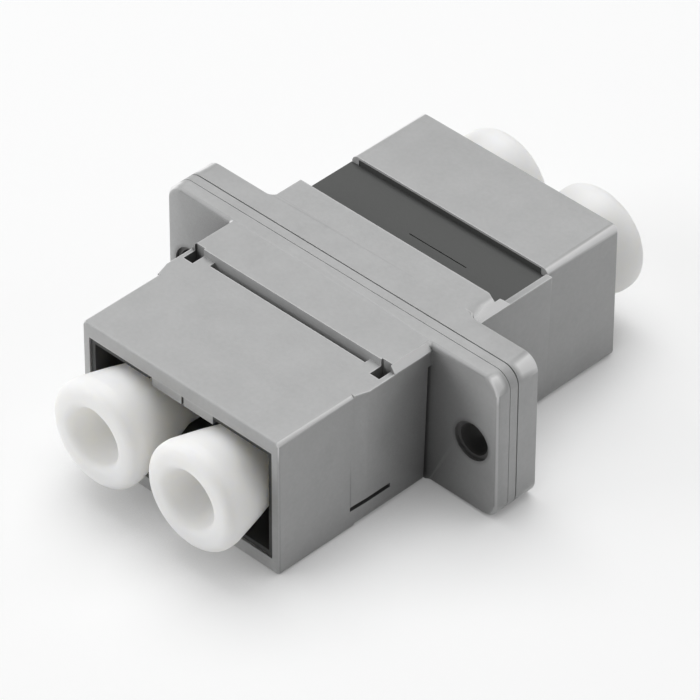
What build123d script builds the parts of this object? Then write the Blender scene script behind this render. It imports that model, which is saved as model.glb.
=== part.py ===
from build123d import *

import os

# Duplex fibre optic coupler: a panel adapter with two ports at each end, a flange with two screw holes,
# two split alignment sleeves and four pull-off dust caps.
# Frame: X across the two ports, Y along the fibres with the front ports at -Y, Z up. The origin is the
# middle of the underside. Sizes are in millimetres.

# Housing, a front and a rear half that are joined at the flange
housing_length = 22.7
block_width = 12.8
block_height = 7.85
shoulder_width = 13.3
centre_width = 12.7
centre_rise = 0.4
centre_foot_z = 0.5
side_wall = 0.45
floor_wall = 0.8
front_collar_length = 4.85
front_collar_radius = 0.25
front_rim = 0.1
rear_collar_radius = 0.4
rear_rim = 0.2
shoulder_foot_radius = 0.4
front_shoulder_radius = 0.08
step_front_y = -4.1
step_rear_y = 2.88
front_corner_radius = 0.15
shoulder_lead = 0.8
rear_slope_width = 0.72
rear_slope_setback = 0.25
rear_corner_radius = 0.35

# Flange, in three layers: front half, centre plate, rear half
flange_width = 21.6
flange_corner_radius = 0.9
front_flange_edge = 0.15
rear_flange_edge = 0.06
front_root_radius = 0.3
rear_root_radius = 0.45
front_layer = 0.83
plate_layer = 0.48
rear_layer = 1.39
plate_middle_y = -0.58
seam_depth = 0.22
front_seam_gap = 0.035
rear_seam_gap = 0.07
hole_margin = 1.6
hole_radius = 0.85
hole_z = 3.95
counterbore_radius = 1.05
counterbore_depth = 0.18

# Small cut-outs of the front half
foot_groove_length = 10.1
foot_groove_width = 0.32
foot_groove_depth = 0.45
pocket_width = 0.6
pocket_length = 0.85
pocket_bite = 0.1
pocket_depth = 0.7
pocket_lip = 0.28
drain_radius = 0.13
drain_depth = 0.5
relief_width = 0.25
relief_depth = 0.3
relief_top_drop = 0.85
clip_slot_length = 2.6
clip_slot_height = 0.25
clip_slot_z = 1.2
clip_slot_y = -5.45

# Catch bars of the ports, hanging from the roof of the cavity
catch_setback = 0.2
catch_length = 0.8
catch_drop = 0.72
catch_gap = 0.14
catch_width = 1.9
catch_clearance = 0.1

# Window in the roof of the rear half, with the deck of the inner body in it
window_length = 3.52
window_lip = 0.36
window_lip_drop = 0.25
window_ramp = 0.7
deck_drop = 0.43
deck_seat_drop = 0.85
deck_clearance = 0.03
deck_rib_drop = 0.15
deck_rib_thickness = 0.22
deck_slit_x = 1.31
deck_slit_setback = 1.39
deck_slit_length = 3.7
deck_slit_width = 0.06

# Ports and their inner bodies, which hold the sleeves
port_pitch = 6.25
port_lift = 0.225
inner_clearance = 0.04
inner_wall = 0.25
divider_width = 0.8
frame_setback = 0.1
divider_setback = 3.0
back_wall = 1.0
tube_radius = 1.25
tube_lip = 1.0
ferrule_hole_radius = 0.68
ferrule_lead_in = 0.2

# Split alignment sleeve
sleeve_length = 6.8
sleeve_bore_radius = 0.625
sleeve_wall = 0.19
sleeve_slit = 0.3
sleeve_clearance = 0.05

# Dust cap, from its face inwards
cap_end_gap = 0.53
cap_overhang = 2.6
cap_head_radius = 3.0
cap_head_length = 1.1
cap_head_round = 0.6
cap_mouth_radius = 2.3
cap_stem_radius = 1.8
cap_stem_start = 4.8
cap_hole_radius = 1.55
cap_hole_depth = 3.0
cap_hole_floor_radius = 1.05
cap_bore_clearance = 0.06
cap_bore_depth = 6.5

# Places that follow from the sizes
front_end_y = -housing_length / 2
rear_end_y = housing_length / 2
plate_front_y = plate_middle_y - plate_layer / 2
plate_rear_y = plate_middle_y + plate_layer / 2
flange_front_y = plate_front_y - front_layer
flange_rear_y = plate_rear_y + rear_layer
window_front_y = step_rear_y
window_rear_y = step_rear_y + window_length
cavity_width = block_width - 2 * side_wall
cavity_top_z = block_height - floor_wall
centre_height = block_height + centre_rise
hole_spacing = flange_width - 2 * hole_margin
relief_top_z = block_height - relief_top_drop
window_lip_z = block_height - window_lip_drop
deck_z = block_height - deck_drop
deck_seat_z = block_height - deck_seat_drop
deck_rib_z = block_height - deck_rib_drop
port_z = block_height / 2 + port_lift
inner_width = cavity_width - 2 * inner_clearance
inner_low_z = floor_wall + inner_clearance
inner_high_z = cavity_top_z - inner_clearance
sleeve_radius = sleeve_bore_radius + sleeve_wall
sleeve_seat_radius = sleeve_radius + sleeve_clearance
seat_reach = (sleeve_length - plate_layer) / 2 + sleeve_clearance
tube_reach = seat_reach + tube_lip
port_x = [-port_pitch / 2, port_pitch / 2]
hole_x = [-hole_spacing / 2, hole_spacing / 2]
cap_length = cap_overhang + plate_front_y - back_wall - front_end_y - cap_end_gap
tiny = 1e-5


def across(sketch, y_a, y_b):
    """A sketch of X and Z, extruded along Y from one station to the other."""
    low, high = sorted((y_a, y_b))
    return extrude(Plane.XZ.offset(-high) * sketch, high - low)


def panel(width, z_low, z_high, radius=0.0):
    """A rectangle in X and Z, centred on X = 0, with rounded corners."""
    height = z_high - z_low
    outline = RectangleRounded(width, height, radius) if radius else Rectangle(width, height)
    return Pos(0, (z_low + z_high) / 2) * outline


def bar(x_a, x_b, low, high):
    """A rectangle given by its sides, in X and Z or in X and Y."""
    return Pos((x_a + x_b) / 2, (low + high) / 2) * Rectangle(abs(x_b - x_a), high - low)


def disc(x, z, radius):
    """A circle in X and Z."""
    return Pos(x, z) * Circle(radius)


def trapezoid(low_width, low_z, high_width, high_z):
    """An outline in X and Z, centred on X = 0, whose flanks lean from one width to the other."""
    corners = [(-low_width, low_z), (low_width, low_z), (high_width, high_z), (-high_width, high_z)]
    return make_face(Polyline([(x / 2, z) for x, z in corners], close=True))


def end_face(solid, outward):
    """The face of a solid that lies furthest along Y, to the front (-1) or to the rear (1)."""
    return solid.faces().sort_by(Axis.Y)[-1 if outward > 0 else 0]


def collar(end_y, inner_y, edge_radius, rim):
    """The box round a pair of ports, rounded along its length and chamfered round its mouth."""
    block = across(panel(block_width, 0, block_height, edge_radius), end_y, inner_y)
    return chamfer(end_face(block, end_y).edges(), rim)


def shoulder_outline(top_width, top_z, top_radius):
    """The outline of a shoulder in X and Z, with rounded feet and, where a radius is given, rounded tops."""
    outline = trapezoid(block_width, 0, top_width, top_z)
    outline = fillet(outline.vertices().group_by(Axis.Y)[0], shoulder_foot_radius)
    if top_radius:
        outline = fillet(outline.vertices().group_by(Axis.Y)[-1], top_radius)
    return outline


def front_shoulder(y_a, y_b):
    """The box behind the front collar, whose sides grow out of the collar and lean out to a wider top."""
    lead_y = y_a + shoulder_lead
    narrow = shoulder_outline(block_width, block_height, front_shoulder_radius)
    wide = shoulder_outline(shoulder_width, block_height, front_shoulder_radius)
    lead = loft([Plane.XZ.offset(-y_a) * narrow, Plane.XZ.offset(-lead_y) * wide], ruled=True)
    return lead + across(wide, lead_y, y_b)


def rear_shoulder(y_a, y_b):
    """The box between the flange and the rear collar, whose sides lean out to the rim of the window."""
    return across(shoulder_outline(shoulder_width, window_lip_z, 0), y_a, y_b)


def flange_rim(centre, joint_y):
    """The outer edges of a flange layer, with the roots that join it to the raised centre."""
    rim = []
    for edge in centre.edges():
        middle, size = edge.center(), edge.bounding_box().size
        on_joint = abs(middle.Y - joint_y) < tiny
        along = size.Y > tiny and size.X < tiny and size.Z < tiny
        upright = size.Z > centre_height / 2 and abs(middle.X) < flange_width / 2 - tiny
        outside = abs(middle.X) > centre_width / 2 + tiny
        if outside and not (on_joint or along or upright):
            rim.append(edge)
    return rim


def raised_centre(step_y, joint_y, flange_y, root_radius, corner_radius, edge):
    """The thicker middle of a half, from above the feet of the shoulders, with its layer of the flange."""
    plan = Pos(0, (step_y + joint_y) / 2) * Rectangle(centre_width, abs(step_y - joint_y))
    plan = plan + Pos(0, (flange_y + joint_y) / 2) * Rectangle(flange_width, abs(flange_y - joint_y))
    inner = [v for v in plan.vertices() if abs(v.X) < flange_width / 2 - tiny]
    plan = fillet([v for v in inner if abs(v.Y - flange_y) < tiny], root_radius)
    plan = fillet([v for v in plan.vertices() if abs(v.Y - step_y) < tiny], corner_radius)
    centre = extrude(plan, centre_height)
    centre = centre & across(panel(flange_width, 0, centre_height, flange_corner_radius), step_y, joint_y)
    centre = chamfer(flange_rim(centre, joint_y), edge)
    below = panel(centre_width + 2 * root_radius, -centre_height, centre_foot_z)
    return centre - across(below, flange_y, step_y)


def flanks(y_a, y_b, foot_z):
    """The sloping flanks between the top of the raised centre and the shoulders."""
    return across(trapezoid(shoulder_width, foot_z, centre_width, centre_height), y_a, y_b)


def screw_holes(y_a, y_b, radius):
    """The pair of flange holes between two stations."""
    return [across(disc(x, hole_z, radius), y_a, y_b) for x in hole_x]


def seam_ring(y_a, y_b):
    """The outer band of the flange's outline, to be cut away for a seam."""
    inner = Pos(0, centre_height / 2) * RectangleRounded(
        flange_width - 2 * seam_depth, centre_height - 2 * seam_depth, flange_corner_radius - seam_depth)
    outer = panel(flange_width + 2 * seam_depth, -seam_depth, centre_height + seam_depth)
    return across(outer - inner, y_a, y_b)


def open_up(half, end_y, joint_y, flange_y):
    """Cuts the cavity and the flange holes of a half and hangs the catch bars from its roof."""
    outward = 1 if end_y > joint_y else -1
    half = half - across(panel(cavity_width, floor_wall, cavity_top_z), end_y, joint_y)
    for hole in screw_holes(flange_y, joint_y, hole_radius):
        half = half - hole
    catch_y = end_y - outward * catch_setback
    for side in (-1, 1):
        near, far = side * catch_gap / 2, side * (catch_gap / 2 + catch_width)
        block = bar(near, far, cavity_top_z - catch_drop, cavity_top_z)
        half = half + across(block, catch_y, catch_y - outward * catch_length)
    return half


def make_front_housing():
    """Front half, with the groove and pockets at the step, the corner reliefs and the clip slots."""
    collar_y = front_end_y + front_collar_length
    centre = raised_centre(step_front_y, plate_front_y, flange_front_y, front_root_radius, front_corner_radius,
                           front_flange_edge)
    half = centre + collar(front_end_y, collar_y, front_collar_radius, front_rim)
    half = half + front_shoulder(collar_y, plate_front_y)
    half = half + flanks(step_front_y, plate_front_y, block_height)
    half = open_up(half, front_end_y, plate_front_y, flange_front_y)
    half = half - seam_ring(plate_front_y - front_seam_gap, plate_front_y)
    for recess in screw_holes(flange_front_y, flange_front_y + counterbore_depth, counterbore_radius):
        half = half - recess
    groove = bar(-foot_groove_length / 2, foot_groove_length / 2, block_height - foot_groove_depth, block_height)
    half = half - across(groove, step_front_y - foot_groove_width, step_front_y)
    pocket_rear_y = step_front_y + pocket_bite
    pocket_front_y = pocket_rear_y - pocket_length
    pocket_z = block_height - pocket_depth
    outer_x = shoulder_width / 2 - pocket_lip
    wide = shoulder_width
    for side in (-1, 1):
        pocket = bar(side * (outer_x - pocket_width), side * outer_x, pocket_z, 2 * centre_height)
        half = half - across(pocket, pocket_front_y, pocket_rear_y)
        drain = Pos(side * (outer_x - 2 * drain_radius), pocket_front_y + 2 * drain_radius, pocket_z - drain_depth)
        half = half - extrude(drain * Circle(drain_radius), drain_depth)
        relief = bar(side * (block_width / 2 - relief_depth), side * wide / 2, -1, relief_top_z)
        half = half - across(relief, flange_front_y - relief_width, flange_front_y)
        slot = bar(side * cavity_width / 2, side * wide, clip_slot_z - clip_slot_height / 2,
                   clip_slot_z + clip_slot_height / 2)
        half = half - across(slot, clip_slot_y - clip_slot_length / 2, clip_slot_y + clip_slot_length / 2)
    return half


def side_slope():
    """What is cut from the right side of the rear half, so that its top runs down to the shoulder."""
    ridge_x, rise = shoulder_width / 2, centre_height - window_lip_z
    above = Polyline([(ridge_x - rear_slope_width, centre_height), (ridge_x, window_lip_z),
                      (ridge_x + rise, window_lip_z), (ridge_x + rise, centre_height + rise),
                      (ridge_x - rear_slope_width, centre_height + rise)], close=True)
    return across(make_face(above), flange_rear_y + rear_slope_setback, step_rear_y + window_ramp)


def make_rear_housing():
    """Rear half, with the window in its roof between the raised centre and the collar."""
    centre = raised_centre(step_rear_y, plate_rear_y, flange_rear_y, rear_root_radius, rear_corner_radius,
                           rear_flange_edge)
    half = centre + collar(rear_end_y, window_rear_y, rear_collar_radius, rear_rim)
    half = half + rear_shoulder(plate_rear_y, window_rear_y)
    half = half + flanks(plate_rear_y, step_rear_y, window_lip_z)
    half = open_up(half, rear_end_y, plate_rear_y, flange_rear_y)
    half = half - seam_ring(plate_rear_y, plate_rear_y + rear_seam_gap)
    lip_x = shoulder_width / 2 - window_lip
    half = half - across(bar(-shoulder_width, lip_x, deck_seat_z, centre_height), window_front_y, window_rear_y)
    half = half - across(panel(shoulder_width, window_lip_z, centre_height), window_front_y, window_rear_y)
    seat = panel(cavity_width, deck_seat_z, deck_rib_z + deck_clearance)
    half = half - across(seat, window_rear_y, window_rear_y + deck_rib_thickness + 2 * deck_clearance)
    corner_y = step_rear_y - rear_corner_radius
    slope = Polyline([(corner_y, window_lip_z), (step_rear_y + window_ramp, window_lip_z),
                      (step_rear_y, centre_height), (corner_y, centre_height)], close=True)
    ramp = extrude(Plane.YZ.offset(lip_x) * make_face(slope), window_lip)
    half = half + (ramp & flanks(corner_y, step_rear_y + window_ramp, window_lip_z))
    return half - side_slope()


def make_centre_plate():
    """Middle layer of the flange, which keeps the sleeves on the port axes."""
    plate = across(panel(flange_width, 0, centre_height, flange_corner_radius), plate_front_y, plate_rear_y)
    for hole in screw_holes(plate_front_y, plate_rear_y, hole_radius):
        plate = plate - hole
    for x in port_x:
        plate = plate - across(disc(x, port_z, sleeve_seat_radius), plate_front_y, plate_rear_y)
    return plate


def inner_body(end_y, plate_y):
    """Insert of one half: a thin shell with a divider, a back wall and a tube round each half of a sleeve."""
    outward = 1 if end_y > plate_y else -1
    frame_end = end_y - outward * frame_setback
    divider_end = end_y - outward * divider_setback
    wall_end = plate_y + outward * back_wall
    body = across(panel(inner_width, inner_low_z, inner_high_z), plate_y, frame_end)
    room_low, room_high = inner_low_z + inner_wall, inner_high_z - inner_wall
    room_x = inner_width / 2 - inner_wall
    body = body - across(panel(2 * room_x, room_low, room_high), divider_end, frame_end)
    for side in (-1, 1):
        room = bar(side * divider_width / 2, side * room_x, room_low, room_high)
        body = body - across(room, wall_end, divider_end)
    notch_width = catch_gap + 2 * catch_width + 2 * catch_clearance
    notch_end = end_y - outward * (catch_setback + catch_length + catch_clearance)
    body = body - across(panel(notch_width, room_high, inner_high_z), notch_end, frame_end)
    for x in port_x:
        seat_y = plate_y + outward * seat_reach
        tube_y = plate_y + outward * tube_reach
        body = body + across(disc(x, port_z, tube_radius), wall_end, tube_y)
        body = body - across(disc(x, port_z, sleeve_seat_radius), plate_y, seat_y)
        body = body - across(disc(x, port_z, ferrule_hole_radius), seat_y, tube_y)
        mouth = Plane.XZ.offset(-tube_y) * disc(x, port_z, ferrule_hole_radius + ferrule_lead_in)
        throat = Plane.XZ.offset(-(tube_y - outward * ferrule_lead_in)) * disc(x, port_z, ferrule_hole_radius)
        body = body - loft([mouth, throat])
    return body


def make_front_inner_body():
    return inner_body(front_end_y, plate_front_y)


def make_rear_inner_body():
    """Rear insert, whose deck fills the window of the rear half and lies on its left wall."""
    body = inner_body(rear_end_y, plate_rear_y)
    start_y, stop_y = window_front_y + deck_clearance, window_rear_y - deck_clearance
    left_x = -block_width / 2
    right_x = shoulder_width / 2 - window_lip - deck_clearance
    body = body + across(bar(left_x, right_x, deck_seat_z + deck_clearance, deck_z), start_y, stop_y)
    rib_y = window_rear_y + deck_clearance
    deck = panel(inner_width, inner_high_z - inner_wall, deck_z)
    body = body + across(deck, start_y, rib_y + deck_rib_thickness)
    body = body + across(panel(inner_width, deck_z, deck_rib_z), rib_y, rib_y + deck_rib_thickness)
    slit = Pos(deck_slit_x, step_rear_y + deck_slit_setback, deck_z - deck_slit_width)
    return body - extrude(slit * SlotOverall(deck_slit_length, deck_slit_width), deck_slit_width)


def make_sleeve(x):
    """Ceramic split sleeve: a thin tube with one slit along its length."""
    ring = disc(x, port_z, sleeve_radius) - disc(x, port_z, sleeve_bore_radius)
    slit = Pos(x, port_z + sleeve_radius) * Rectangle(sleeve_slit, 2 * sleeve_radius)
    half = sleeve_length / 2
    return across(ring - slit, plate_middle_y - half, plate_middle_y + half)


def make_cap(x, end_y):
    """Dust cap, turned about its port axis: rounded head with a blind hole, cone, stem and bore."""
    outward = 1 if end_y > 0 else -1
    bore_radius = tube_radius + cap_bore_clearance
    arc_cut = cap_head_round * (1 - 0.5 ** 0.5)
    with BuildPart() as cap:
        with BuildSketch(Plane.XY):
            with BuildLine():
                Polyline(
                    (cap_head_radius - cap_head_round, 0),
                    (cap_hole_radius, 0),
                    (cap_hole_floor_radius, cap_hole_depth),
                    (0, cap_hole_depth),
                    (0, cap_length - cap_bore_depth),
                    (bore_radius, cap_length - cap_bore_depth),
                    (bore_radius, cap_length),
                    (cap_stem_radius, cap_length),
                    (cap_stem_radius, cap_stem_start),
                    (cap_mouth_radius, cap_overhang),
                    (cap_head_radius, cap_head_length),
                    (cap_head_radius, cap_head_round),
                    (cap_head_radius - arc_cut, arc_cut),
                    close=True,
                )
            make_face()
        revolve(axis=Axis.Y)
    turned = cap.part if outward < 0 else mirror(cap.part, about=Plane.XZ)
    return Pos(x, end_y + outward * cap_overhang, port_z) * turned


pieces = {
    "front_housing": make_front_housing(),
    "rear_housing": make_rear_housing(),
    "centre_plate": make_centre_plate(),
    "front_inner_body": make_front_inner_body(),
    "rear_inner_body": make_rear_inner_body(),
}
for side_name, x in zip(("left", "right"), port_x):
    pieces[f"{side_name}_alignment_sleeve"] = make_sleeve(x)
    for end_name, y in (("front", front_end_y), ("rear", rear_end_y)):
        pieces[f"{end_name}_{side_name}_dust_cap"] = make_cap(x, y)

os.makedirs("parts", exist_ok=True)
for name, solid in pieces.items():
    solid.label = name
    export_step(solid, f"parts/{name}.step")
    print(name, len(solid.solids()), round(solid.volume, 2))
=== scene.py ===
# %% [markdown]
# # A duplex fibre optic coupler
# This small panel adapter joins two pairs of fibre plugs end to end. It is a grey moulded housing in two
# halves with a flange between them, two dark inserts that hold the alignment sleeves, and four soft white
# dust caps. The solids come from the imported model. This lesson gives them their finish, turns the caps as
# smooth surfaces and lights the whole like a catalogue picture.

import math

import bpy
import numpy as np
from mathutils import Matrix, Vector


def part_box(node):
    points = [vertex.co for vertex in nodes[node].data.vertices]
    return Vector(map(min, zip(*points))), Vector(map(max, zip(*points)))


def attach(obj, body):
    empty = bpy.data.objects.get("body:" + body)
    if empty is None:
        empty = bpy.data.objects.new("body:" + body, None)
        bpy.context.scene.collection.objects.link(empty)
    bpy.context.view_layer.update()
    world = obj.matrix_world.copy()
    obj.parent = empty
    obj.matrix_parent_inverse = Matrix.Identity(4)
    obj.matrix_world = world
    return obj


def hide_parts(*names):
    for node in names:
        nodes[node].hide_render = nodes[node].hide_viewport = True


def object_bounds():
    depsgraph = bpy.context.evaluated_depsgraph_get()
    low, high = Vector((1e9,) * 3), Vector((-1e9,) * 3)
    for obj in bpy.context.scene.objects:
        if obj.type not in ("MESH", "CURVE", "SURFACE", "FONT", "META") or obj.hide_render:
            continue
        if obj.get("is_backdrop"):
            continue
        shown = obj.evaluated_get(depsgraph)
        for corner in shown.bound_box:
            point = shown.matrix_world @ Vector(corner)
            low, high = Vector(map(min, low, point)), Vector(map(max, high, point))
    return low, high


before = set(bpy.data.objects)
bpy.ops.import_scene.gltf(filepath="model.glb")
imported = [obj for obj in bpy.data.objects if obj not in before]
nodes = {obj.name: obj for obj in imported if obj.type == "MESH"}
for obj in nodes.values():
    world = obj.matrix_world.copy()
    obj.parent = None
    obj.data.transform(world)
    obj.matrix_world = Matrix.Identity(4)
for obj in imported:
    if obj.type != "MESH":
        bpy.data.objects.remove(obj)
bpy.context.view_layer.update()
mm = 0.001

# %% [markdown]
# ## The camera
# The photograph was taken from in front, from the right and from well above, with a long lens, so that
# parallel edges stay nearly parallel. A long lens far away gives that. The camera looks at a point a little
# below the middle of the housing, because the object sits a little high in the picture.

# %% Place the camera
camera_azimuth = math.radians(44.379)
camera_elevation = math.radians(38.984)
camera_roll = math.radians(0.194)
camera_distance = 279.269 * mm
picture_width = 700
focal_pixels = 5966.3
aim_above_floor = Vector((0, -0.1985, 4.65)) * mm
aim_right_pixels = -0.663
aim_up_pixels = -23.045

outward = Vector((
    math.sin(camera_azimuth) * math.cos(camera_elevation),
    -math.cos(camera_azimuth) * math.cos(camera_elevation),
    math.sin(camera_elevation),
))
sideways = Vector((0, 0, 1)).cross(outward).normalized()
upward = outward.cross(sideways)
pixel_size = camera_distance / focal_pixels
aim = aim_above_floor + (sideways * aim_right_pixels + upward * aim_up_pixels) * pixel_size

camera = bpy.data.objects.new("camera", bpy.data.cameras.new("camera"))
bpy.context.scene.collection.objects.link(camera)
camera.data.sensor_width = 36
camera.data.lens = focal_pixels * camera.data.sensor_width / picture_width
camera.data.clip_start, camera.data.clip_end = 0.01, 10
turn = outward.to_track_quat("Z", "Y").to_matrix() @ Matrix.Rotation(camera_roll, 3, "Z")
camera.matrix_world = Matrix.Translation(aim + outward * camera_distance) @ turn.to_4x4()
bpy.context.scene.camera = camera
print("lens in mm:", round(camera.data.lens, 1))

# %% [markdown]
# ## Smooth edges on the moulded pieces
# Most free edges of the real mouldings are slightly round, and so are those of the solids. Their triangles
# arrive loose, which shows each facet. Three modifiers mend the shading without touching the mesh: Weld
# joins the triangles, Edge Split keeps real corners crisp, and Weighted Normal lets the large flat faces
# stay flat while the narrow rounds between them turn smoothly.

# %% Shade the CAD pieces smoothly
crisp_angle = math.radians(48)


def shade_smoothly(piece):
    """Joins the loose triangles of a piece and shades all but its sharp corners as one curved skin."""
    smooth = np.ones(len(piece.data.polygons), bool)
    piece.data.polygons.foreach_set("use_smooth", smooth)
    weld = piece.modifiers.new("join triangles", "WELD")
    weld.merge_threshold = 0.001 * mm
    split = piece.modifiers.new("keep corners", "EDGE_SPLIT")
    split.split_angle = crisp_angle
    split.use_edge_sharp = False
    level = piece.modifiers.new("flatten large faces", "WEIGHTED_NORMAL")
    level.weight = 60


moulded = ["front_housing", "rear_housing", "centre_plate", "front_inner_body", "rear_inner_body"]
sleeves = ["left_alignment_sleeve", "right_alignment_sleeve"]
for name in moulded + sleeves:
    shade_smoothly(nodes[name])
print("smoothed:", ", ".join(moulded + sleeves))

# %% [markdown]
# ## Helpers for shader nodes
# Small functions keep the shader trees readable. They start a node group, add a node with its settings, do
# a sum, run a ramp between two levels, blend two colours and read where the shaded point lies. A fixed
# colour is written as three numbers.

# %% Write the node helpers
def node(tree, kind, **settings):
    """Adds a node to a tree and sets its properties."""
    made = tree.nodes.new(kind)
    for key, value in settings.items():
        setattr(made, key, value)
    return made


def new_group(name, inputs, outputs):
    """A shader node group that takes and gives numbers. Returns it with its inner inputs and outputs."""
    group = bpy.data.node_groups.new(name, "ShaderNodeTree")
    for key, value in inputs.items():
        socket = group.interface.new_socket(name=key, in_out="INPUT", socket_type="NodeSocketFloat")
        socket.default_value = value
    for key in outputs:
        group.interface.new_socket(name=key, in_out="OUTPUT", socket_type="NodeSocketFloat")
    return group, node(group, "NodeGroupInput").outputs, node(group, "NodeGroupOutput").inputs


def math_node(tree, operation, first, second=None):
    """Adds a Math node. Each operand is a socket or a number."""
    made = node(tree, "ShaderNodeMath", operation=operation)
    for index, operand in enumerate((first, second)):
        if operand is None:
            continue
        if isinstance(operand, bpy.types.NodeSocket):
            tree.links.new(operand, made.inputs[index])
        else:
            made.inputs[index].default_value = operand
    return made.outputs[0]


def product(tree, *factors):
    """Multiplies sockets and numbers with each other."""
    result = factors[0]
    for factor in factors[1:]:
        result = math_node(tree, "MULTIPLY", result, factor)
    return result


def unsigned(tree, value):
    """A value without its sign, which treats left and right or front and rear alike."""
    return math_node(tree, "ABSOLUTE", value)


def ramp(tree, value, start, end, low=0.0, high=1.0, kind="LINEAR"):
    """A value that goes from low at start to high at end and stays level beyond them."""
    made = node(tree, "ShaderNodeMapRange", interpolation_type=kind)
    for index, number in enumerate((start, end, low, high), 1):
        made.inputs[index].default_value = number
    tree.links.new(value, made.inputs[0])
    return made.outputs[0]


def mix_colours(tree, factor, first, second):
    """Blends two colours by the factor of a socket. Each colour is a socket or three numbers."""
    made = node(tree, "ShaderNodeMix", data_type="RGBA")
    tree.links.new(factor, made.inputs[0])
    for socket, operand in ((made.inputs[6], first), (made.inputs[7], second)):
        if isinstance(operand, bpy.types.NodeSocket):
            tree.links.new(operand, socket)
        else:
            socket.default_value = (*operand, 1)
    return made.outputs[2]


def place_of_point(tree):
    """The X, Y and Z of the shaded point in Object coordinates."""
    split = node(tree, "ShaderNodeSeparateXYZ")
    tree.links.new(node(tree, "ShaderNodeTexCoord").outputs["Object"], split.inputs[0])
    return split.outputs["X"], split.outputs["Y"], split.outputs["Z"]


print("helpers:", [f.__name__ for f in (node, new_group, math_node, product, unsigned, ramp, mix_colours)])

# %% [markdown]
# ## Shared effects for the plastics
# All the plastics have the same kind of skin: faint clouds where the melt flowed and a fine spark-eroded
# grain pressed in by the mould. A second group finds the upper edges that get a painted highlight and the
# places that light hardly reaches, which get painted shade, and a third marks the screw holes of the flange.
# Each gives masks only. Their places are in Object coordinates, so the pattern stays with the piece, and
# each material sets its own scale.

# %% Build the mask groups
hole_spacing = 18.4 * mm
hole_height = 3.95 * mm
seam_y = -0.58 * mm
seam_margin = (0.4 * mm, 0.65 * mm)
# Heights and widths where the edge highlight is painted.
highlight_height = (6.6 * mm, 7.4 * mm)
highlight_width = (7.5 * mm, 9.5 * mm)
# Where the painted shade fades: towards the rear, on the top and towards the sides.
front_fade = (1.0 * mm, -1.2 * mm)
top_fade = (6.8 * mm, 6.5 * mm)
side_fade = (5.6 * mm, 6.6 * mm)
corner_turn = (1.0, 0.85)
corner_share = 0.4
round_lean = (0.98, 0.86)
round_side = (0.15, 0.4)
closed_to_open = (0.5, 0.25)


def moulded_skin_group():
    """Clouds are soft noise and grain is fine noise, and each comes out as a mask from 0 to 1."""
    group, entry, leave = new_group(
        "moulded skin", {"Cloud Scale": 120.0, "Grain Scale": 4000.0}, ("Clouds", "Grain"))
    place = node(group, "ShaderNodeTexCoord").outputs["Object"]
    clouds = node(group, "ShaderNodeTexNoise")
    clouds.inputs["Detail"].default_value = 3
    grain = node(group, "ShaderNodeTexNoise")
    grain.inputs["Detail"].default_value = 2
    grain.inputs["Roughness"].default_value = 0.65
    for texture, scale, mask in ((clouds, "Cloud Scale", "Clouds"), (grain, "Grain Scale", "Grain")):
        group.links.new(place, texture.inputs["Vector"])
        group.links.new(entry[scale], texture.inputs["Scale"])
        group.links.new(texture.outputs["Fac"], leave[mask])
    return group


def sharp_corners(group, radius):
    """How far the normal turns within a small radius, as a mask from 0 to the corner share."""
    bevel = node(group, "ShaderNodeBevel", samples=4)
    group.links.new(radius, bevel.inputs["Radius"])
    turn = node(group, "ShaderNodeVectorMath", operation="DOT_PRODUCT")
    group.links.new(bevel.outputs["Normal"], turn.inputs[0])
    group.links.new(node(group, "ShaderNodeNewGeometry").outputs["Normal"], turn.inputs[1])
    return ramp(group, turn.outputs["Value"], *corner_turn, 0.0, corner_share)


def rounded_corners(group):
    """1 on the rounds between the top and a side, where the normal leans away from all three axes."""
    lean = node(group, "ShaderNodeVectorMath", operation="ABSOLUTE")
    group.links.new(node(group, "ShaderNodeTexCoord").outputs["Normal"], lean.inputs[0])
    along = node(group, "ShaderNodeSeparateXYZ")
    group.links.new(lean.outputs["Vector"], along.inputs[0])
    largest = math_node(group, "MAXIMUM", along.outputs["Y"], along.outputs["Z"])
    largest = math_node(group, "MAXIMUM", along.outputs["X"], largest)
    return product(group, ramp(group, largest, *round_lean), ramp(group, along.outputs["X"], *round_side))


def painted_light_group():
    """The first mask marks the open corners that lie high up or far out, away from the seams of the flange,
    where a highlight is painted into the colour. The second is how much of the near surroundings closes a
    point in, for shade painted into the colour. It counts most on the front half and least on the middle of
    the top. Both are masks from 0 to 1."""
    group, entry, leave = new_group(
        "painted highlight and shade", {"Edge Radius": 0.15 * mm, "Nook Reach": 5.0 * mm}, ("Edges", "Painted Shade"))
    x, y, z = place_of_point(group)
    from_middle = unsigned(group, x)
    near = node(group, "ShaderNodeAmbientOcclusion", samples=4, only_local=True)
    group.links.new(entry["Nook Reach"], near.inputs["Distance"])
    nooks = math_node(group, "SUBTRACT", 1.0, near.outputs["AO"])

    sharp, rounded = sharp_corners(group, entry["Edge Radius"]), rounded_corners(group)
    corners = math_node(group, "MAXIMUM", sharp, rounded)
    open_corners = product(group, corners, ramp(group, nooks, *closed_to_open))
    # Where the edge highlight is painted: high up or far out, and away from the flange seams.
    high_up = ramp(group, z, *highlight_height, 0.1, 1.0)
    far_out = ramp(group, from_middle, *highlight_width, 0.0, 0.4)
    from_seams = unsigned(group, math_node(group, "SUBTRACT", y, seam_y))
    off_seams = ramp(group, from_seams, *seam_margin, 0.05, 1.0)
    highlight_place = product(group, math_node(group, "MAXIMUM", high_up, far_out), off_seams)
    group.links.new(product(group, open_corners, highlight_place), leave["Edges"])

    # Painted shade counts most on the front half and least on the middle of the top.
    in_front = ramp(group, y, *front_fade, 0.35, 1.0)
    below_top = ramp(group, z, *top_fade, 0.1, 1.0)
    off_roof = math_node(group, "MAXIMUM", below_top, ramp(group, from_middle, *side_fade))
    group.links.new(product(group, nooks, in_front, off_roof), leave["Painted Shade"])
    return group


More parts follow.
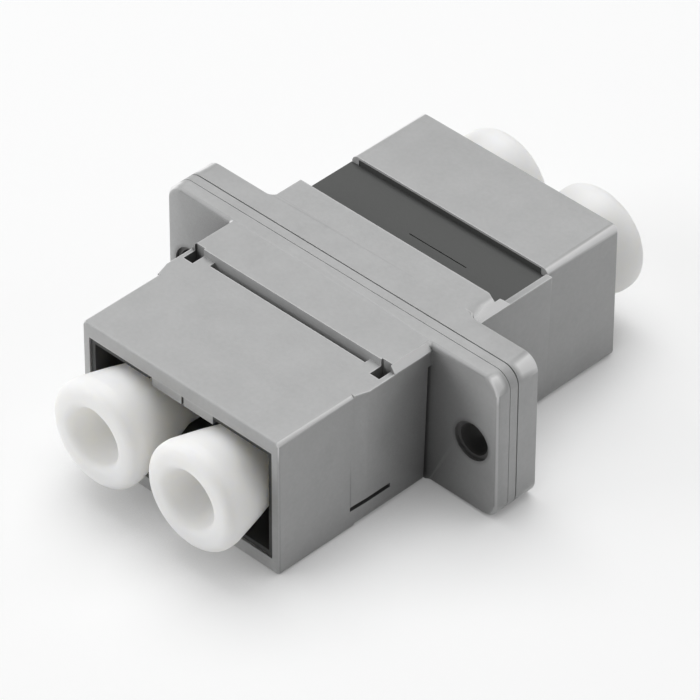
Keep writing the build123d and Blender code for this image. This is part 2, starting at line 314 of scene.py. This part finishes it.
def around_holes_group():
    """Near is 1 at the wall of a flange hole and fades out over Fade. The distance to the hole's axis is the
    root of the summed squares of |x| - half the spacing and z - the height of the holes."""
    group, entry, leave = new_group("around the holes", {"Radius": 0.86 * mm, "Fade": 0.45 * mm}, ("Near",))
    x, _, z = place_of_point(group)
    across = math_node(group, "SUBTRACT", unsigned(group, x), hole_spacing / 2)
    up = math_node(group, "SUBTRACT", z, hole_height)
    squares = math_node(group, "ADD", product(group, across, across), product(group, up, up))
    beyond = math_node(group, "SUBTRACT", math_node(group, "SQRT", squares), entry["Radius"])
    share = math_node(group, "DIVIDE", beyond, entry["Fade"])
    group.links.new(ramp(group, share, 1.0, 0.0, kind="SMOOTHSTEP"), leave["Near"])
    return group


skin_group = moulded_skin_group()
painted_light_masks = painted_light_group()
hole_masks = around_holes_group()
for made in (skin_group, painted_light_masks, hole_masks):
    print(made.name, "gives", [s.name for s in made.interface.items_tree if s.in_out == "OUTPUT"])

# %% [markdown]
# ## The plastics and the ceramic
# The housing is a satin grey, the inserts are the same plastic in near black, and the caps are a soft waxy
# white that lets a little light in. The sleeves are polished zirconia, which is white and much glossier.
# Colours are blended between a lighter and a darker tone by the clouds and the grain, the clouds also vary
# the sheen a little, and the grain goes to the bump.

# %% Make the plastic materials
sheen_spread = 0.06
# How closed in a point must be for the painted shade to start and to be full.
shaded_from, shaded_to = 0.04, 0.42


def plastic(name, light, dark, roughness, grain_scale, grain_depth, cloud_scale=160.0, speck=0.25,
            painted_highlight=None, shaded=None):
    """A moulded plastic. Its two tones are blended by clouds and, for the share speck, by grain, which also
    presses in the surface. The last two tones go together: the first is a highlight painted on the upper
    edges, the second a shade painted deep in the corners."""
    material = bpy.data.materials.new(name)
    material.use_nodes = True
    tree = material.node_tree
    shader = tree.nodes["Principled BSDF"]
    skin = node(tree, "ShaderNodeGroup", node_tree=skin_group)
    skin.inputs["Cloud Scale"].default_value = cloud_scale
    skin.inputs["Grain Scale"].default_value = grain_scale
    clouds, grain = skin.outputs["Clouds"], skin.outputs["Grain"]
    blend = math_node(tree, "ADD", product(tree, clouds, 1 - speck), product(tree, grain, speck))
    colour = mix_colours(tree, blend, dark, light)
    # Shade painted deep in the corners, then a highlight painted on the upper edges.
    if painted_highlight:
        masks = node(tree, "ShaderNodeGroup", node_tree=painted_light_masks)
        deep = ramp(tree, masks.outputs["Painted Shade"], shaded_from, shaded_to)
        colour = mix_colours(tree, deep, colour, shaded)
        colour = mix_colours(tree, masks.outputs["Edges"], colour, painted_highlight)
    tree.links.new(colour, shader.inputs["Base Color"])
    sheen = ramp(tree, clouds, 0.0, 1.0, roughness - sheen_spread, roughness + sheen_spread)
    tree.links.new(sheen, shader.inputs["Roughness"])
    bump = node(tree, "ShaderNodeBump")
    bump.inputs["Distance"].default_value = grain_depth
    bump.inputs["Strength"].default_value = 1.0
    tree.links.new(grain, bump.inputs["Height"])
    tree.links.new(bump.outputs["Normal"], shader.inputs["Normal"])
    return material


# Light grey on the upper edges is a painted highlight, and dark grey deep in the corners is painted shade.
housing_grey = plastic("housing grey", (0.495, 0.498, 0.498), (0.36, 0.362, 0.362), 0.44, 4200.0,
                       0.007 * mm, cloud_scale=700.0, speck=0.45, painted_highlight=(0.84, 0.84, 0.84),
                       shaded=(0.14, 0.14, 0.14))
insert_dark = plastic("insert dark", (0.076, 0.078, 0.076), (0.058, 0.060, 0.058), 0.55, 5200.0, 0.006 * mm)
cap_white = plastic("cap white", (0.957, 0.945, 0.918), (0.927, 0.914, 0.882), 0.5, 2600.0, 0.003 * mm)
cap_shader = cap_white.node_tree.nodes["Principled BSDF"]
cap_shader.inputs["Subsurface Weight"].default_value = 0.8
cap_shader.inputs["Subsurface Radius"].default_value = (1.0, 0.95, 0.8)
cap_shader.inputs["Subsurface Scale"].default_value = 3.2 * mm
ceramic = plastic("zirconia", (0.88, 0.87, 0.82), (0.85, 0.84, 0.79), 0.16, 3000.0, 0.0005 * mm)
print("materials:", [m.name for m in (housing_grey, insert_dark, cap_white, ceramic)])

# %% [markdown]
# ## Marks on the mouldings
# Three marks go over the plain plastics: a faint parting line on the sides of the front half, painted shade
# in the screw holes and round them, and painted shade on the inserts that grows towards the ports.

# %% Mark and dress the CAD pieces
parting_line_y = -6.72 * mm
parting_line_strength = 0.35
parting_line_edge = (0.02 * mm, 0.06 * mm)
parting_line_foot = (1.1 * mm, 1.3 * mm)
parting_line_head = (2.6 * mm, 4.2 * mm)
side_skin = (6.30 * mm, 6.38 * mm)
# How strongly the shade is painted in the screw holes.
hole_shade_strength = 0.82
# Where the painted shade on the inserts starts, where it is full, and how strong it gets.
mouth_start, mouth_end = 7.0 * mm, 10.5 * mm
mouth_shade_strength = 0.5


def parting_line(tree):
    """The faint upright line that the mould leaves on a side, above the end of its clip slot."""
    x, y, z = place_of_point(tree)
    aside = unsigned(tree, math_node(tree, "SUBTRACT", y, parting_line_y))
    line = ramp(tree, aside, *parting_line_edge, parting_line_strength, 0.0)
    outside = ramp(tree, unsigned(tree, x), *side_skin)
    foot = ramp(tree, z, *parting_line_foot)
    head = ramp(tree, z, *parting_line_head, 1.0, 0.0)
    return product(tree, line, outside, foot, head)


def painted_hole_shade(tree):
    """Shade painted into the screw holes and round them."""
    return product(tree, node(tree, "ShaderNodeGroup", node_tree=hole_masks).outputs["Near"], hole_shade_strength)


def painted_mouth_shade(tree):
    """Shade painted on the inserts, growing towards the two ends of the coupler, where the ports swallow the
    light.
    """
    _, y, _ = place_of_point(tree)
    return ramp(tree, unsigned(tree, y), mouth_start, mouth_end, 0.0, mouth_shade_strength)


def paint_over(material, mark, colour):
    """Lays a colour over the base colour of a material where its mark is."""
    tree = material.node_tree
    target = tree.nodes["Principled BSDF"].inputs["Base Color"]
    tree.links.new(mix_colours(tree, mark(tree), target.links[0].from_socket, colour), target)


def dress(piece, material):
    """Gives a piece one material."""
    piece.data.materials.clear()
    piece.data.materials.append(material)


paint_over(housing_grey, parting_line, (0.08, 0.08, 0.08))
# Painted shade, near black, in the screw holes and round them.
paint_over(housing_grey, painted_hole_shade, (0.055, 0.053, 0.051))
# Painted shade on the inserts towards the ports.
paint_over(insert_dark, painted_mouth_shade, (0.015, 0.015, 0.015))
for name in moulded:
    dress(nodes[name], insert_dark if "inner" in name else housing_grey)
for name in sleeves:
    dress(nodes[name], ceramic)
print("dressed:", ", ".join(moulded + sleeves))

# %% [markdown]
# ## Helpers for turned pieces
# A dust cap is a turned form: one profile carried round its axis. The profile is a chain of straight runs
# whose corners are rounded by arcs. An arc of radius r in a corner starts r * tan(turn / 2) before it, and
# its points come from blending the two tangent directions, so no corner needs points placed by hand.

# %% Round a profile and turn it
arc_steps = 10
turn_steps = 128


def rounded_profile(corners):
    """Straight runs through (along, radius, rounding) corners. At each inner corner the run is cut back by
    rounding * tan(half the turn), and the two cut points are joined by an arc of that rounding."""
    corners = np.array(corners, float)
    points, rounding = corners[:, :2], corners[:, 2]
    path = [points[:1]]
    for before, corner, after, radius in zip(points[:-2], points[1:-1], points[2:], rounding[1:-1]):
        into = (corner - before) / np.linalg.norm(corner - before)
        out = (after - corner) / np.linalg.norm(after - corner)
        turn = math.acos(np.clip(into @ out, -1, 1))
        if radius == 0 or turn < 1e-6:
            path.append(corner[None])
            continue
        cut = radius * math.tan(turn / 2)
        inward = (out - into) / np.linalg.norm(out - into)
        centre = corner + inward * math.hypot(radius, cut)
        share = np.linspace(-turn / 2, turn / 2, arc_steps)[:, None]
        tangent = (into + out) / np.linalg.norm(into + out)
        path.append(centre - inward * radius * np.cos(share) + tangent * radius * np.sin(share))
    path.append(points[-1:])
    return np.concatenate(path)


def turned_mesh(name, profile, x, face_y, z, direction):
    """Carries a profile of (along, radius) round an axis on Y: a point at angle t lies at radius * cos t in
    X and radius * sin t in Z. The first and last profile points lie on the axis and become poles."""
    angle = np.linspace(0, 2 * math.pi, turn_steps, endpoint=False)
    along, radius = profile[1:-1, 0], profile[1:-1, 1]
    grid = np.empty((len(along), turn_steps, 3))
    grid[..., 0] = x + radius[:, None] * np.cos(angle)
    grid[..., 1] = face_y + direction * along[:, None]
    grid[..., 2] = z + radius[:, None] * np.sin(angle)
    poles = np.array([[x, face_y + direction * s, z] for s in profile[[0, -1], 0]])
    vertices = np.concatenate([grid.reshape(-1, 3), poles])
    row = np.arange(len(along) - 1)[:, None] * turn_steps
    here = np.arange(turn_steps)
    beside = (here + 1) % turn_steps
    quads = np.stack([row + here, row + beside, row + turn_steps + beside, row + turn_steps + here], -1)
    quads = quads.reshape(-1, 4)
    last = (len(along) - 1) * turn_steps
    first_pole, last_pole = len(vertices) - 2, len(vertices) - 1
    near_fan = np.stack([np.full(turn_steps, first_pole), beside, here], -1)
    far_fan = np.stack([np.full(turn_steps, last_pole), last + here, last + beside], -1)
    if direction < 0:
        quads, near_fan, far_fan = quads[:, ::-1], near_fan[:, ::-1], far_fan[:, ::-1]
    mesh = bpy.data.meshes.new(name)
    mesh.from_pydata(vertices.tolist(), [], quads.tolist() + near_fan.tolist() + far_fan.tolist())
    mesh.polygons.foreach_set("use_smooth", np.ones(len(mesh.polygons), bool))
    mesh.update()
    piece = bpy.data.objects.new(name, mesh)
    bpy.context.scene.collection.objects.link(piece)
    return piece


# %% [markdown]
# ## The four dust caps
# A cap is moulded in soft polyethylene. Its face has a blind hole with a generous lip, its head is a little
# wider than the cone behind it, and its stem is hollow to slip over the sleeve tube inside the port. The
# overall length, the head and the place of each cap come from the solid that it stands for.

# %% Turn the dust caps
hole_floor_radius = 1.05 * mm
hole_mouth_radius = 1.55 * mm
hole_depth = 3.0 * mm
lip_round = 0.45 * mm
head_length = 0.85 * mm
head_ease = 0.17 * mm
cone_length = 2.6 * mm
cone_end_radius = 2.42 * mm
stem_start = 4.8 * mm
stem_radius = 1.8 * mm
bore_radius = 1.31 * mm
bore_depth = 6.5 * mm
hole_floor_round = 0.35 * mm
face_round = 0.55 * mm
head_back_round = 0.6 * mm
cone_round = 2.0 * mm
stem_round = 0.8 * mm
stem_end_round = 0.18 * mm
bore_lip_round = 0.15 * mm
bore_floor_round = 0.3 * mm


def cap_profile(length, head_radius):
    """The cap's half section, from the pole of its face hole out, along the outside and into its bore."""
    head_radius -= head_ease
    return rounded_profile([
        (hole_depth, 0, 0),
        (hole_depth, hole_floor_radius, hole_floor_round),
        (0, hole_mouth_radius, lip_round),
        (0, head_radius, face_round),
        (head_length, head_radius, head_back_round),
        (cone_length, cone_end_radius, cone_round),
        (stem_start, stem_radius, stem_round),
        (length, stem_radius, stem_end_round),
        (length, bore_radius, bore_lip_round),
        (length - bore_depth, bore_radius, bore_floor_round),
        (length - bore_depth, 0, 0),
    ])


for end in ("front", "rear"):
    for side in ("left", "right"):
        cad_name = f"{end}_{side}_dust_cap"
        low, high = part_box(cad_name)
        centre = (low + high) / 2
        direction = 1 if end == "front" else -1
        face_y = low.y if end == "front" else high.y
        profile = cap_profile(high.y - low.y, (high.x - low.x) / 2)
        cap = turned_mesh(f"{end}_{side}_cap", profile, centre.x, face_y, centre.z, direction)
        dress(cap, cap_white)
        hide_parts(cad_name)
        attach(cap, f"{end}_{side}_cap")
        print(cap.name, len(cap.data.polygons), "faces, face at", round(face_y / mm, 2), "mm")

# %% [markdown]
# ## Floor, background and light
# The picture is a plain studio shot: white paper, one large soft light above, a weaker one from the front
# left and a faint one from the right rear that picks out the upper edges. The paper is lifted to white only
# where the camera or a gloss sees it, and less close to the object, which paints a soft contact shadow there.
# So the light on the object can stay at a plain level, at which a grey renders as the grey it is.

# %% Lay the floor
floor_size = 3.0
paper_tones = (0.9, 0.905, 0.905), (0.93, 0.93, 0.93)
seen_tone = (0.552, 0.554, 0.554)
# Within this reach of the object the floor is lifted less, which paints its contact shadow.
painted_shadow_reach = 5 * mm
painted_shadow_lift, open_lift = 0.14, 0.42


def floor_material():
    """Matt white paper. Seen straight or in a gloss it is lifted towards white, so its shadows are pale, and
    the light it throws back at the object stays that of plain paper. Close to the object it is lifted less,
    which paints a darker contact shadow there."""
    material = bpy.data.materials.new("white paper")
    material.use_nodes = True
    tree = material.node_tree
    shader = tree.nodes["Principled BSDF"]
    noise = node(tree, "ShaderNodeTexNoise")
    noise.inputs["Scale"].default_value = 3
    tree.links.new(node(tree, "ShaderNodeTexCoord").outputs["Object"], noise.inputs["Vector"])
    paper = mix_colours(tree, noise.outputs["Fac"], *paper_tones)
    rays = node(tree, "ShaderNodeLightPath")
    seen = math_node(tree, "MAXIMUM", rays.outputs["Is Camera Ray"], rays.outputs["Is Glossy Ray"])
    seen = math_node(tree, "MAXIMUM", seen, rays.outputs["Is Transmission Ray"])
    tree.links.new(mix_colours(tree, seen, paper, seen_tone), shader.inputs["Base Color"])
    shader.inputs["Emission Color"].default_value = (1, 1, 1, 1)
    near = node(tree, "ShaderNodeAmbientOcclusion", samples=8)
    near.inputs["Distance"].default_value = painted_shadow_reach
    # The floor is lifted less where the object closes it in, which is a painted contact shadow.
    lift_with_painted_shadow = ramp(tree, near.outputs["AO"], 0.2, 0.8, painted_shadow_lift, open_lift)
    tree.links.new(product(tree, lift_with_painted_shadow, seen), shader.inputs["Emission Strength"])
    shader.inputs["Roughness"].default_value = 0.9
    shader.inputs["Specular IOR Level"].default_value = 0.1
    return material


half = floor_size / 2
floor_mesh = bpy.data.meshes.new("floor")
floor_corners = [(-half, -half, 0), (half, -half, 0), (half, half, 0), (-half, half, 0)]
floor_mesh.from_pydata(floor_corners, [], [(0, 1, 2, 3)])
floor = bpy.data.objects.new("floor", floor_mesh)
bpy.context.scene.collection.objects.link(floor)
dress(floor, floor_material())
floor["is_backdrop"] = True
print("floor:", floor_size, "m")

# %% Set the lights
def soft_light(name, place, size, power, aim_at=(0, 0, 0.004)):
    """A square area light, with its place and its size in metres, turned towards the object."""
    lamp = bpy.data.lights.new(name, "AREA")
    lamp.shape, lamp.size, lamp.energy = "SQUARE", size, power
    holder = bpy.data.objects.new(name, lamp)
    bpy.context.scene.collection.objects.link(holder)
    holder.location = place
    holder.rotation_mode = "QUATERNION"
    holder.rotation_quaternion = (Vector(aim_at) - Vector(place)).to_track_quat("-Z", "Y")
    return holder


soft_light("overhead", (-0.15, 0.12, 0.50), 0.45, 2.25)
soft_light("right rear", (0.42, 0.42, 0.28), 0.2, 0.33)
soft_light("front left", (-0.36, -0.44, 0.24), 0.35, 1.55)
world = bpy.data.worlds.new("studio")
bpy.context.scene.world = world
world.use_nodes = True
background = world.node_tree.nodes["Background"]
background.inputs["Color"].default_value = (1, 1, 1, 1)
background.inputs["Strength"].default_value = 0.18
bpy.context.scene.view_settings.view_transform = "Standard"

# %% Measure and finish
low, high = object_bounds()
print("visual box in mm:", [round(v / mm, 2) for v in high - low])
